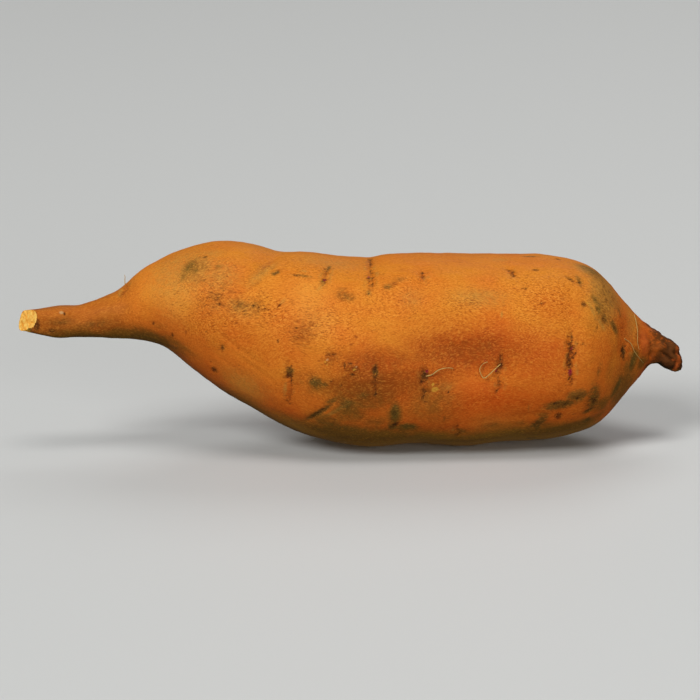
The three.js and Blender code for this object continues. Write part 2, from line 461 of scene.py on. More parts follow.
# Marks: place along X, bearing, reach along and around the root, strength, and turn if any
marks = {
    "wrinkled": [  # where the fine wrinkles stand out most, with the strongest painted glints and crease shade
        (-46, 16, 14, 11, 0.85), (-27, 27, 13, 8, 1), (-6, 27, 14, 10, 1), (16, 38, 14, 11, 0.7),
        (40, 38, 18, 9, 0.7), (64, 40, 16, 11, 1.1), (-18, 60, 16, 8, 0.7), (-45, 50, 12, 8, 0.5),
        (86, 38, 7, 10, 0.8), (-10, 150, 26, 14, 0.9), (42, 165, 24, 14, 0.8), (20, 215, 26, 12, 0.7),
    ],
    "rust": [  # redder skin; the patches at 40 mm, bearings 11 and 22, also carry painted shade in the near flank's hollow
        (91, 22, 7, 14, 0.85), (8, -10, 20, 12, 0.75), (62, 4, 24, 14, 0.75), (40, 22, 26, 8, 0.5),
        (82, 0, 9, 10, 0.5), (-26, 2, 26, 8, 0.4), (40, 11, 24, 9, 1), (24, -3, 16, 8, 0.8),
        (48, -20, 30, 10, 0.8), (66, 14, 8, 6, 0.5), (10, 5, 16, 6, 0.7), (-22, -24, 18, 9, 0.2),
        (-46, -14, 10, 9, 0.2), (-60, -6, 8, 6, 0.25), (97, 20, 4, 6, 1), (14, -48, 34, 9, 0.7),
        (30, 112, 20, 9, 0.5), (6, 160, 20, 9, 0.7), (56, 190, 22, 10, 0.8), (-32, 218, 16, 10, 0.6),
        (22, 250, 36, 14, 0.7), (-52, 150, 9, 8, 0.5), (-10, 292, 26, 12, 0.6), (66, 36, 13, 12, 0.5),
        (84, 8, 8, 10, 0.6),
    ],
    "tan": [  # duller, drier skin; one patch low on the left is painted light
        (-51, 46, 8, 8, 0.9, -20), (-53.5, 46, 2.6, 6.5, 1, -22), (84, 62, 7, 13, 1, -10),
        (79, 80, 5, 5, 0.8), (-46, 66, 7, 4, 0.5), (-28.2, 54, 2.6, 9, 0.6, -22),
        (-36, 21, 6.5, 4.5, 0.5), (-15.3, 60, 1.8, 0.7, 0.7), (-9.2, 49, 0.7, 2.4, 0.8, -25),
        (42, 42, 11, 4.6, 0.6), (20, 40, 5, 5, 0.45), (-6, 76, 14, 7, 0.45), (79.4, 37, 0.8, 4, 1, 24),
        (82.3, 28, 0.8, 3, 0.9, 45), (86, 66, 7, 10, 0.7), (49.6, 32, 0.5, 1.2, 0.9),
        (24.4, 54, 0.5, 1.2, 0.8, 15), (6.5, 47, 0.8, 1.2, 0.8), (-12, -11, 1.2, 1, 0.7),
        (-5, -25, 5.5, 0.7, 0.9, 46), (50, 82, 4, 2.2, 0.4), (31, -11, 3, 1.8, 0.5),
        (-44, 17, 3, 2.4, 0.4), (-22, 34, 1.8, 1, 0.5, 50), (-56, 46, 14, 15, 0.65),
        # the patch at -34 mm and -32 degrees is painted light on the shaded lower-left flank
        (-11, 27, 9, 7, 0.35), (-34, -32, 12, 6, 0.45), (-43, 42, 9, 9, 0.6), (93, 50, 4, 12, 0.45),
        (85, 52, 5, 12, 0.7, -12),
    ],
    "bleached": [  # paler gold: painted sheen high on the near side, and painted light on shaded lower edges
        (-13, 40, 8, 9, 0.75), (-9, 26, 8, 8, 0.5), (-57, 12, 8, 9, 0.6), (-36, -40, 9, 6, 0.6),
        (-17, -52, 10, 6, 0.6), (46, -34, 10, 6, 0.4),
    ],
    "earth": [  # olive-brown stains left by wet soil, in broad patches
        (2, -43, 22, 6, 0.9), (70, -50, 20, 4, 0.85), (38, -54, 20, 3, 0.6), (-66, -46, 14, 4.5, 0.95),
        (-90, -50, 12, 3.5, 0.9), (84, 60, 7, 12, 0.25, -10), (4, -13, 14, 8, 0.7),
        (26, -20, 12, 12, 0.5), (-1, -26, 7.5, 5.5, 0.7), (4, -18, 4.5, 4, 0.7), (8, -32, 7.5, 4.5, 0.5),
        (-8, -34, 7, 4, 0.75), (-4, -42, 14, 5, 0.7), (14.5, -27, 3.2, 6.5, 0.75, -6),
        (18, -37, 5, 2.6, 0.8), (-58, -34, 9, 2.6, 0.6), (-76, -38, 12, 2.8, 0.8),
        (-96, -30, 8, 2.2, 0.7), (-63, -20, 4, 3.5, 0.3), (80.5, 80, 5, 6, 0.6), (83, 54, 5, 8, 0.2, -10),
        (90, 44, 4, 6, 0.2), (88, -32, 3.5, 6, 0.9, -45), (83, -38, 5, 4, 0.75, -20),
        (76, -46, 6, 2.6, 0.6), (64, -42, 5, 2.4, 0.5), (93.5, -10, 1.8, 4.6, 1, -28),
        (85.5, -10, 3, 5, 0.3), (96.5, -22, 3, 3, 0.8), (62.5, -32, 2.2, 1.4, 0.6), (46, -38, 4, 2, 0.5),
        (36.5, -41, 2.4, 1.2, 0.6), (55.4, -38, 2.4, 1.4, 0.5), (-12, -12, 12, 7, 0.4),
        (45, 14, 2.2, 2, 0.35), (31, -12, 1.6, 1.6, 0.35), (-42.5, 22, 3, 2.4, 0.35),
        (90, -42, 8, 9, 0.85), (91.5, -15, 3.5, 5, 0.6, -40), (95, 44, 3, 12, 0.3),
        (-52, 48, 4, 6, 0.55, -22),
    ],
    "olive": [  # darker green-brown smudges, thin and broken
        (-52.6, 49, 1.6, 3.6, 0.5, -24), (-54.8, 37, 1.3, 3.2, 0.4, -14), (-50.6, 45, 1, 1.8, 0.5),
        (-47.5, 48, 1.8, 1.8, 0.35), (-43.2, 49, 1.3, 1.2, 0.5), (-49, 35, 3, 1.8, 0.2),
        (-45, 22, 3, 1.8, 0.3), (-36.5, 22, 4.5, 2.4, 0.4), (-31, 26, 2.4, 2, 0.45),
        (-28.4, 56, 1.2, 4, 0.2, -15), (-30.4, 43, 1.3, 3, 0.2, -25), (-24, 55, 1.1, 2, 0.75, -36),
        (-15.6, 55.5, 3.6, 0.75, 0.7), (-6.8, 68, 0.8, 2.4, 0.7, -10), (-8.6, 54, 0.7, 1.6, 0.7, -15),
        (-2.6, 48, 1.8, 1.6, 0.35), (-1.4, 44, 4.2, 2.2, 0.45, -5), (12.2, 50, 1.8, 1.3, 0.7),
        (16.5, 54, 3.4, 1.8, 0.4), (80.2, 46, 1.5, 2.8, 0.65, 20), (81.4, 39, 1.7, 2.4, 0.65, 25),
        (83.6, 33, 2.8, 2.4, 0.5), (86.6, 30, 1.4, 3, 1, 42), (78.5, 84, 4.6, 3.8, 0.5),
        (75.3, 60, 1.4, 3.4, 0.6, 12), (88.8, 51, 0.8, 2, 0.6, 20), (-11.2, -11, 2.4, 2.2, 0.9),
        (-8.6, -10, 2, 1.4, 0.6), (-20, -7, 1.6, 1.6, 0.8), (-1.2, -20, 3, 2.2, 0.7),
        (4.5, -13, 3, 1.6, 0.45), (14.2, -25, 1.6, 4, 0.9, -5), (13.6, -36, 2.2, 1.8, 0.8),
        (18.8, -36, 3, 1.6, 0.9), (-6.2, -20, 3, 0.9, 0.7, 40), (-3, -38, 9, 2.2, 0.5),
        (74.3, -21, 3.8, 2.2, 1.1), (68.6, -25, 5.8, 1.8, 1.1, 2), (79.7, -25, 2.4, 5, 0.95),
        (81.6, -6, 1.2, 3.6, 0.45, -18), (78.3, -36, 2.4, 1, 1, 8), (77.5, -46, 2, 1.6, 0.8, 25),
        (61.8, -37, 1.6, 4, 1, -40), (61.1, -44, 1, 1.6, 0.8), (58.1, -26, 0.6, 1.9, 0.5),
        (93.2, -8, 1.1, 3.4, 1, -26), (88, -29, 1.4, 3.6, 0.8, -44), (90.4, 6, 1, 2.4, 0.8),
        (24, -4, 1.7, 2, 0.5), (8.2, 0, 1.2, 2.4, 0.8), (60, 90, 3, 0.8, 0.8),
        (30.7, -30, 0.7, 1.4, 0.45), (-96, 10, 6, 1.6, 0.4), (-84, -6, 7, 1.8, 0.4),
    ],
    "bruise": [  # red-brown patches of dead skin; the first, at 38 mm and 9 degrees, is painted shade in the near flank's hollow
        (38, 9, 22, 7, 0.65), (-15.7, 17, 4.7, 4.4, 0.55), (14.6, 51, 1.1, 1, 0.9),
        (-1.8, 45, 3.4, 2.4, 0.4), (-28.4, 60, 1.6, 7, 0.5, -18), (-31, 42, 1.3, 4.5, 0.4, -25),
        (0.4, 2, 3.6, 2.6, 0.9, -22), (-6.4, 6, 2.8, 2.8, 0.75, 40), (-5.6, -7, 1.6, 1.8, 0.9),
        (-3.4, -9, 1, 0.9, 0.7), (8.3, -7, 1.5, 4.5, 0.7), (24.2, -4, 2, 3.5, 0.6),
        (48.8, 2, 1.8, 3.5, 0.6), (71.6, 5, 1.5, 6.5, 0.45), (-49, 34, 3, 1.8, 0.2),
        (69.9, 44, 1.6, 1.2, 0.5), (62.3, 39, 0.8, 0.8, 0.8), (-33, 40, 5, 3, 0.25),
        (79, -28, 3, 4.4, 0.5), (70, -25, 4.8, 2, 0.4), (-98, -8, 8, 3, 0.5), (-82, -14, 10, 3, 0.5),
        (101, 4, 2.4, 3, 0.8), (86.8, 60, 2, 3, 0.4), (9, -7, 17, 6, 0.95), (8, 5, 16, 6, 0.65),
    ],
    "scab": [  # small dark corky spots, and two larger ones that are painted shade under the tail
        (-47.9, 62, 0.8, 0.6, 0.9), (-49.9, 60, 0.5, 0.5, 0.4), (-47.4, 36, 0.5, 0.5, 0.6),
        (-39.8, 42, 0.4, 1, 0.5), (-41.4, 30, 0.7, 0.4, 0.6), (-43.1, 24, 0.5, 0.6, 0.7),
        (-45.7, 23, 0.9, 0.4, 0.5, 30), (-42.4, 19, 0.7, 0.6, 0.9), (-48, 14, 0.5, 0.4, 0.5),
        (-57.3, 19, 0.5, 0.4, 0.5), (-64.6, -17, 0.5, 0.9, 0.8), (-58.7, -26, 0.7, 1.4, 0.7),
        (-46.8, -5, 0.5, 0.5, 0.6), (-31.3, 25, 0.7, 0.6, 0.9, 30), (-29.6, 26, 0.7, 0.5, 0.9, -20),
        (-24.1, 55, 0.5, 1.7, 0.6, -36), (-17.4, 55.5, 1.2, 0.4, 0.6), (-8.4, 55, 0.9, 0.6, 0.9, 20),
        (-22.8, 32, 0.5, 1.1, 0.9, -35), (-23.8, 9, 0.6, 0.8, 0.7), (-17.3, 20, 0.6, 0.7, 0.7),
        (-0.3, 33, 1.4, 0.25, 0.35), (6.3, 59, 0.8, 0.9, 1), (7.6, 58, 0.7, 0.7, 0.9),
        (7.6, 52, 0.6, 0.5, 0.7), (6.8, 86, 0.8, 1.2, 0.7), (7, 74, 0.7, 1.2, 0.6),
        (24, 60, 0.7, 0.6, 0.9), (52.4, 68, 0.6, 0.9, 0.8), (53.5, 61, 1, 0.8, 0.9),
        (61.2, 67, 1.3, 0.7, 0.9), (69.2, 88, 1, 1, 0.8), (72.3, 60, 2, 0.7, 0.9, -40),
        (75.3, 58, 0.6, 0.6, 0.9), (57.5, 49, 0.8, 0.6, 0.8), (55.5, 44, 0.5, 0.6, 0.5),
        (56.4, 50, 0.5, 0.4, 0.5), (62.3, 39, 0.5, 0.6, 0.6), (76.5, 40, 1, 1.1, 0.9),
        (74.3, 14, 0.5, 0.5, 0.6), (75.8, 14, 0.6, 0.5, 0.7), (81, 25, 0.5, 0.9, 0.7),
        (83.9, 67, 0.6, 1.4, 0.5), (-41.6, -12, 0.8, 1.3, 0.9, 6), (-44.6, -36, 1.2, 1.5, 1, -20),
        (-46.1, -30, 0.4, 0.5, 0.6), (-36.5, -20, 0.7, 0.3, 0.5), (-19.8, -11, 1.3, 1, 1, 25),
        (-20.8, -22, 0.5, 0.6, 0.5), (-21.2, -28, 0.6, 0.8, 0.5), (-1.8, 3, 0.5, 1.4, 0.9, 20),
        (0.2, 5, 1.6, 0.4, 0.8, -20), (0.8, -1, 2, 0.4, 0.9, -24), (2.6, 2, 0.5, 1.2, 0.7, 20),
        (-12.3, -9, 0.7, 1.1, 0.6), (-6.2, -8, 0.6, 0.6, 0.7), (-3.4, -9, 0.6, 0.4, 0.6),
        (8.2, 1, 0.8, 1.7, 0.8), (8.1, -13, 0.6, 0.8, 1), (14.2, -35, 1.7, 0.8, 1, 42),
        (14.6, -26, 0.9, 2, 0.5), (24.2, -3, 1, 1.1, 0.9), (23.2, -7, 0.6, 1, 0.9, -10),
        (23.8, -13, 0.6, 1.8, 0.6), (24.4, -19, 0.8, 0.5, 0.6), (31.6, -13, 0.5, 0.6, 0.8),
        (28.2, -9, 0.9, 0.4, 0.6), (48.8, 6, 0.5, 1.8, 0.8, -12), (48.7, 2, 1.1, 0.8, 1),
        (48.2, -8, 0.6, 1.8, 0.5), (72.3, 18, 0.6, 0.7, 0.8), (71.2, 14, 0.6, 0.7, 0.8),
        (71.9, 10, 0.9, 1.1, 0.9), (71.4, 5, 0.8, 2.2, 0.85), (71.8, 0, 0.6, 1, 0.9),
        (71.6, -4, 0.5, 0.7, 1), (71.4, -9, 0.5, 0.4, 0.9), (72.2, -9, 0.4, 0.4, 0.7),
        (68.2, -35, 1.4, 1.5, 1), (67, -24, 1.3, 0.7, 0.8), (70.6, -26, 1, 0.6, 0.8),
        (74.3, -22, 0.9, 0.6, 0.9), (79.8, -29, 1, 1.2, 0.9), (78.3, -36, 1.9, 0.5, 0.9, 8),
        (90.4, 6, 0.6, 2.2, 0.9), (83.4, 33, 1.6, 1.4, 0.6), (86.6, 30, 0.7, 1.5, 0.7, 40),
        (-98.6, -20, 1.2, 0.8, 0.8), (-103.7, 6, 1.2, 2.2, 1), (-106, -35, 1.4, 3.2, 0.6),
        # the two large spots at 104 and 108 mm are painted shade on the tail's underside
        (104, -62, 6, 3, 0.9), (108, -48, 3, 2, 0.8), (99.6, 12, 0.8, 3.5, 0.4, 15),
        (105.4, 26, 0.7, 3, 0.5, 20), (106.5, -8, 4, 0.6, 0.6, -12), (-94.6, 36, 0.5, 0.6, 0.9),
        (-86, -2, 0.6, 0.5, 0.4),
    ],
    "flesh": [  # nicks that show the pale flesh
        (27.4, -11.5, 1.3, 0.9, 1, 15), (26.6, -9.4, 0.6, 0.6, 0.9), (28.3, -12.6, 0.6, 0.6, 0.9),
        (77.8, 42, 1.5, 0.5, 0.7, -45), (1.2, 1, 1, 0.4, 0.8, -25), (-0.6, 2, 0.4, 0.4, 0.5),
        (-8, 3, 0.7, 0.6, 0.55), (-7.8, 1, 0.5, 0.4, 0.5), (7, 58, 0.3, 0.3, 0.8),
        (8.2, -1, 0.3, 0.5, 0.5),
    ],
    "husk": [  # pale flakes of dead cork
        (-95.6, 40, 0.7, 0.6, 0.9), (-7.8, 4, 0.9, 0.5, 0.6, 30), (1.6, 3, 0.8, 0.35, 0.5, -20),
    ],
    "raw": [  # skin rubbed to a bright red-orange
        (108.4, 57, 1, 1.4, 0.6), (109.3, -15, 0.9, 4.5, 0.8), (107.6, -6, 0.9, 0.8, 0.5),
        (97.2, 20, 2.6, 5, 0.6), (100.6, -12, 1.2, 1.8, 0.35), (106.8, 150, 2, 1.6, 0.7),
        (98, 160, 3, 5, 0.6), (101.5, 235, 2, 3, 0.5),
    ],
    "bud": [  # purple specks, where a rootlet broke off alive
        (25.1, -2, 0.6, 0.6, 1), (72.2, 11, 0.4, 0.4, 0.9), (71.5, -4, 0.8, 1.1, 1),
        (-8.2, 55, 0.6, 0.4, 0.8), (6.2, 60, 0.4, 0.4, 0.8), (47.6, -1, 0.5, 0.5, 0.9),
        (43.4, 5, 0.4, 0.3, 0.5),
    ],
    "crinkle": [  # rough skin
        (0.5, 2, 3.2, 2.4, 1, -25), (-7.6, 3, 2, 2.8, 1), (-5.7, 8, 2.2, 2.4, 1),
        (-15.7, 17, 5, 4.6, 0.7), (-19.2, -15, 1.4, 2.6, 1), (-44, 20, 6, 5, 0.9), (-35, 21, 6, 4, 0.85),
        (-42, 29, 6, 4, 0.7), (-29, 25, 6, 5, 0.7), (-2.2, 46, 3.2, 2.2, 0.7), (79, -28, 3, 4, 0.8),
        (68.5, -25, 4, 1.6, 0.8), (-10.8, -11, 2, 2, 0.5), (84, 54, 6, 15, 0.8, -12),
        (-4, -30, 9, 7, 0.35), (90, 35, 6, 12, 0.4), (74.3, -21, 2.4, 1.4, 0.8), (14, -33, 2.4, 2.6, 0.6),
        (-49, 35, 3.2, 2, 0.4), (95.5, 15, 2, 6, 0.5), (61.5, -38, 1.4, 3, 0.6, -40),
        (76.6, 41, 1.6, 1.6, 0.7),
    ],
}
hiddenMarks = {  # how many on the far side and underneath, and their smallest and largest reach
    "tan": (16, 2, 8), "earth": (18, 3, 9), "olive": (40, 0.9, 3.6), "bruise": (18, 1.2, 4.4),
    "scab": (70, 0.5, 1.5), "flesh": (4, 0.5, 1.3), "bud": (5, 0.5, 0.9), "crinkle": (16, 1.6, 4.6),
    "husk": (6, 0.5, 1.1),
}
hiddenSpread = {  # where they lie, how flat they are around the girth, and how they turn
    "x": (-74, 84), "bearing": (100, 300), "flat": 0.7, "turn": (-45, 45), "strength": (0.5, 1.0),
}


def addHiddenMarks(spread):
    pick = random.Random(41)
    for kind, (count, small, large) in hiddenMarks.items():
        for _ in range(count):
            x, bearing = pick.uniform(*spread["x"]), pick.uniform(*spread["bearing"])
            along, around = pick.uniform(small, large), pick.uniform(small, large) * spread["flat"]
            turn, strength = pick.uniform(*spread["turn"]), pick.uniform(*spread["strength"])
            marks[kind].append((x, bearing, along, around, strength, turn))


folds = {  # place along X, bearing, reach along and around, height in mm, and turn if any
    "healedKnots": [
        (0.5, 2, 2.2, 1.4, 0.6, -25), (-7.6, 3, 1.2, 1.4, 0.3), (27.4, -11, 2, 1.8, 0.25),
    ],
    "tornTail": [
        (103.2, 13, 1.3, 1.3, 0.7), (108.2, 58, 1.5, 1.4, 0.7), (99.8, 8, 0.8, 4, -0.3, 10),
        (103, 95, 1.6, 1.2, 0.4), (105.5, -40, 1.5, 1.4, 0.5), (108.7, 28, 1.4, 0.8, -1.5, 20),
        (106.5, -8, 4, 0.6, -0.9, -12), (107.5, 120, 4, 0.8, -0.9), (107, 235, 4, 0.8, -0.9),
        (110, 90, 1, 1.6, -1.1),
    ],
    "neckBuds": [
        (-94.5, 38, 2, 1.5, 0.4), (-97, -60, 4, 1.5, 0.3), (-88, 150, 3, 2, 0.35),
        (-84, 10, 0.9, 6, -0.15), (-79, -20, 0.9, 7, -0.15),
    ],
    "outline": [
        (-98, 80, 4, 6, 0.1), (-89, 88, 5, 6, -0.35), (-78, 90, 3, 8, -0.3), (-83, 90, 4, 8, 0.3),
        (-57, 85, 9, 12, -0.3), (-38, 85, 9, 14, -0.25), (12, 86, 11, 12, 0.6), (82, 80, 4, 8, 0.3),
        (-57.5, 270, 5, 8, 0.4), (-20, -75, 14, 10, 0.35), (60, -75, 10, 12, 0.25),
        (82, -62, 9, 12, 0.35), (98, -80, 4, 6, 0.2), (101, 88, 8, 5, -0.5), (104.5, -85, 3, 3.5, 0.8),
        (109.4, -80, 1.5, 2, 0.4),
    ],
    "hollows": [
        (40, -9, 26, 10, -1.4), (6, -34, 12, 9, -0.6), (-36, -8, 13, 0.8, -0.22, -12),
        (-33, -15, 12, 0.7, -0.18, -10), (-40, -22, 10, 0.7, -0.15, -10),
    ],
    "creases": [
        (-27.5, 66, 2.4, 15, -0.6, -14), (-31, 45, 1.6, 5, -0.35, -25), (-34, 24, 5, 3, -0.2),
        (60, -32, 8, 1.6, -0.2), (84, 40, 2, 6, -0.2, 25),
    ],
}

cutCorners = [  # as the folds are
    (-109.5, 228, 4, 1.8, 0.85), (-109.5, 132, 3, 1.4, 0.15), (-106.5, 52, 3, 1.5, 0.35),
]
scratch = {"spot": (-10.9, -30.5, 7, 0.85, 54), "depth": 0.35, "stain": 0.6}  # depth in mm
regions = {  # where each part of the skin starts and is full
    "neck": (60.0, 84.0),      # mm along -X
    "tail": (92.0, 106.0),     # mm along X
    "low": (-0.45, 0.75),      # how far the skin faces down
    # where the painted shade on the skin underneath starts and is full
    "under": (0.5, 0.95),
    # where the painted sheen of the top edge starts and is full
    "high": (0.72, 1.0),       # how far it faces up
    "relief": (2.0, 12.0),     # mm from the cut's rim
}
markDepths = {"scab": 0.22, "flesh": 0.3, "bruise": 0.12}  # mm
leastWrinkled = 0.42
neckCalm = 0.75  # how much of the body's relief the neck loses
tailPatches = (2.5, 17, 2, 4.0)  # size, seed, octaves and stretch of what breaks the tail's edge
tailRagged = 0.4


def makeMasks(scar, rough, pale, gash):
    # where each kind of mark and each part of the skin lies, from 0 to 1
    facing = outward[:, :, 2]
    neck = smoothStep(-base[:, :, 0], *regions["neck"])
    tail = smoothStep(base[:, :, 0], *regions["tail"])
    masks = {}
    for kind, rows in marks.items():
        masks[kind] = np.max(spotsOf(rows), 0)
    masks["scab"] = np.max([masks["scab"], scar, gash * scratch["stain"]], 0)
    masks["olive"] = np.maximum(masks["olive"], gash)
    masks["crinkle"] = np.maximum(masks["crinkle"], rough)
    masks["rust"] = np.maximum(masks["rust"], eyeShape["roughStain"] * rough)
    masks["tan"] = np.maximum(masks["tan"], eyeShape["lipStain"] * pale)
    masks["wrinkled"] = (leastWrinkled + (1 - leastWrinkled) * masks["wrinkled"]) * (1 - tail)
    masks["neck"] = neck
    masks["tail"] = np.clip(tail * (1 + tailRagged * noiseField(*tailPatches)), 0, 1)
    masks["low"] = smoothStep(-facing, *regions["low"])
    # painted sheen: the upward-facing skin, seen at a grazing angle along the top edge
    masks["high"] = smoothStep(facing, *regions["high"])
    # painted shade on the down-facing skin, tinted olive as a painted green reflected light
    masks["under"] = smoothStep(-facing, *regions["under"])
    return masks, neck, tail


def modelSkin():
    # moves the smooth skin in and out, and says where each kind of mark lies
    sunk, scar, rough, pale = carveEyes(eyeShape)
    gash = spotField(*scratch["spot"])
    masks, neck, tail = makeMasks(scar, rough, pale, gash)
    height = swell["body"] + swell["neck"] * neck + swell["tail"] * tail - sunk
    height -= scratch["depth"] * gash
    calm = (1 - neckCalm * neck) * (1 - tail)
    where = {"crinkle": masks["crinkle"], "neckGrain": neck, "tailKnobs": tail, "tailCracks": tail}
    for seed, (name, (size, rise, stretch)) in enumerate(relief.items(), 11):
        height += rise * where.get(name, calm) * noiseField(size, seed, 2, stretch)
    height -= sum(depth * masks[kind] for kind, depth in markDepths.items())
    for group in folds.values():
        height += sum(spotsOf(group))
    fromRim = np.linalg.norm(base - base[0].mean(0), axis=2)
    height *= smoothStep(fromRim, *regions["relief"])
    height += sum(spotsOf(cutCorners))
    modelled = base + outward * height[:, :, None]
    modelled[:, :, 2] -= modelled[:, :, 2].min()
    return modelled, masks


addHiddenMarks(hiddenSpread)
skinGrid, masks = modelSkin()
print("relief and marks modelled")


cutFace = {
    "rings": (0.96, 0.9, 0.83, 0.75, 0.62, 0.45, 0.28, 0.12),  # as shares of the rim
    "tears": ((0.22, 1.1), (0.1, 0.45)),  # mm: height and size
    "sunk": 0.15,                         # mm
    "driedRings": 5,                      # how many the dried skin covers, where it reaches most
    "driedSide": (-38, 46),               # the bearing of that side, and how wide it is
}


def coverCut(rim):
    # rings of torn flesh inside the rim, the widest first
    centre = rim.mean(0)
    rings = []
    for share in cutFace["rings"]:
        ring = centre + (rim - centre) * share
        torn = [sum(rise * noise.noise(Vector(p) / size) for rise, size in cutFace["tears"]) for p in ring]
        rings.append(ring + cutWay * (np.array(torn)[:, None] - cutFace["sunk"]))
    return rings


def joinRings(rings, capRings):
    # faces with their material, 0 skin and 1 flesh, and their texture places. After the
    # rings come two more points: the middle of the cut and the tip of the tail.
    columns, last = skin["columns"], len(rings) - 1
    centre, tip = len(rings) * columns, len(rings) * columns + 1
    steps = np.linalg.norm(np.diff(rings, axis=0), axis=2).mean(1)
    travel = np.concatenate([[0.0], np.cumsum(steps)])
    travel = 0.01 + 0.98 * travel / travel[-1]  # leaves room for the two end points
    side, width = cutFace["driedSide"]
    faces, kinds, uvs = [], [], []
    for j in range(columns):
        k, v, w = (j + 1) % columns, j / columns, (j + 1) / columns
        dried = int(cutFace["driedRings"] * math.exp(-((bearings[j] - side) / width) ** 2) + 0.5)
        faces.append((centre, j, k))
        kinds.append(1)
        uvs += [(0.0, (v + w) / 2), (travel[0], v), (travel[0], w)]
        for i in range(last):
            a, b = i * columns + j, i * columns + k
            faces.append((a, a + columns, b + columns, b))
            kinds.append(1 if i < capRings - dried else 0)
            uvs += [(travel[i], v), (travel[i + 1], v), (travel[i + 1], w), (travel[i], w)]
        faces.append((last * columns + j, tip, last * columns + k))
        kinds.append(0)
        uvs += [(travel[last], v), (1.0, (v + w) / 2), (travel[last], w)]
    return faces, kinds, uvs


def makeBody():
    cap = coverCut(skinGrid[0])
    rings = np.concatenate([np.array(cap[::-1]), skinGrid])
    ends = [cap[-1].mean(0), tailTip - [skin["tipSunk"], 0, 0]]
    faces, kinds, uvs = joinRings(rings, len(cap))
    mesh = newMesh("sweetPotatoSkin", np.concatenate([rings.reshape(-1, 3), ends]), faces)
    mesh.polygons.foreach_set("material_index", kinds)
    layer = mesh.uv_layers.new(name="OFBake")
    layer.data.foreach_set("uv", np.array(uvs, np.float32).ravel())
    for name, mask in masks.items():
        onCap = np.repeat(mask[:1], len(cap), 0).ravel()
        values = np.concatenate([onCap, mask.ravel(), [0.0, mask[-1].mean()]])
        attribute = mesh.attributes.new(name, "FLOAT", "POINT")
        attribute.data.foreach_set("value", values.astype(np.float32))
    mesh.update()
    return mesh


# Sweet potato skin: a thin cork layer grown in soil and dried by curing. It is a satin
# golden brown, redder low down, with short creases along the root between smooth ridges;
# the creases are darkened with painted shade and the ridges carry small soft painted glints.
curedSkin = {
    "gold": "#CE7C24", "orange": "#CA681E", "red": "#C65016",
    # the ridge colour is a painted glint and the crease colour a painted shade
    "crease": "#742C08", "ridgeGlint": "#EEA242", "fleck": "#7A3410", "pit": "#3A1C0C",
    "warming": 0.3,               # how much low skin and mottling each redden it
    "warmths": {"orange": (0.55, 0.85), "red": (0.9, 1.35)},  # at which each starts and is full
    "swirl": (18.0, 8.0),         # mm: size of the swirls and how far they bend the grain
    "stretch": (0.42, 1.0, 1.0),  # makes the grain run along the root
    "grains": {                   # size in mm, detail, distortion, and whether it follows the root
        "drift": (26.0, 2.0, 0.0, False), "mottle": (5.0, 4.0, 0.0, True),
        "wrinkles": (0.37, 1.0, 0.6, True), "patches": (9.0, 2.0, 0.0, False),
        "jitter": (2.2, 2.0, 0.0, False),
    },
    "flaws": {  # mm apart, the largest as a share of that, how far it covers, how deep it dents
        "fleck": (2.6, 0.22, 0.75, 0.2), "pit": (1.0, 1.0, 0.8, 0.4),
    },
    "creased": {"From Min": 0.5, "From Max": 0.3, "To Max": 0.72},  # grain below this gets painted crease shade
    "glinting": {"From Min": 0.52, "From Max": 0.72, "To Max": 0.5},    # and above this gets painted glints
    "deeper": {"From Min": 0.35, "From Max": 0.6, "To Min": 0.7, "To Max": 1.05},  # where patches run deep
    "stainGrain": {"Detail": 3.0, "Roughness": 0.62},
    "stainBreaks": 0.7,           # how far the creases break the stains
    "bumpHeight": 0.16,           # mm
    "roughness": (0.58, 0.46),
    "ior": 1.45,
    "gloss": 0.045,
}

# Stains in the order they are laid: colour, how far they cover, grain in mm that breaks
# their edge, how much it breaks it, where the edge starts and ends, and roughness
stains = [
    ("rust", "#B64810", 0.85, 5.0, 0.35, (0.05, 1.0), 0.50),
    # painted sheen: a duller yellow-brown on the upward-facing skin along the top edge
    ("high", "#C2740E", 0.42, 5.0, 0.7, (0.1, 1.1), 0.62),
    ("neck", "#96511A", 0.65, 6.0, 0.6, (0.2, 0.9), 0.50),
    ("tail", "#AE4C16", 0.80, 2.5, 0.7, (0.0, 0.4), 0.55),
    ("tail", "#4C2E14", 0.92, 1.6, 0.8, (0.3, 0.8), 0.60),
    # painted shade: darker olive towards the underside, with a painted green reflected light in it
    ("under", "#74631F", 0.78, 5.0, 0.4, (0.1, 0.9), 0.60),
    ("tan", "#AC7E36", 0.66, 1.5, 0.8, (0.05, 0.8), 0.60),
    # painted sheen and painted light: paler gold over the sheen zone and on the shaded lower edges
    ("bleached", "#E09A3C", 0.42, 1.2, 0.8, (0.05, 0.9), 0.55),
    ("earth", "#6A4C1A", 0.85, 2.6, 0.6, (0.05, 0.8), 0.58),
    ("bruise", "#8A4412", 0.70, 1.6, 0.9, (0.05, 0.8), 0.50),
    ("olive", "#54461C", 0.78, 1.1, 1.0, (0.05, 0.75), 0.62),
    ("scab", "#2A1A0E", 0.80, 0.5, 1.1, (0.1, 0.8), 0.75),
    ("bud", "#84102E", 0.85, 0.5, 0.8, (0.2, 0.6), 0.40),
    ("raw", "#BC5A24", 0.75, 0.8, 0.9, (0.1, 0.7), 0.50),
    ("flesh", "#C48C30", 0.90, 0.5, 1.0, (0.25, 0.55), 0.50),
    ("husk", "#BE9462", 0.85, 0.5, 0.8, (0.2, 0.6), 0.70),
]


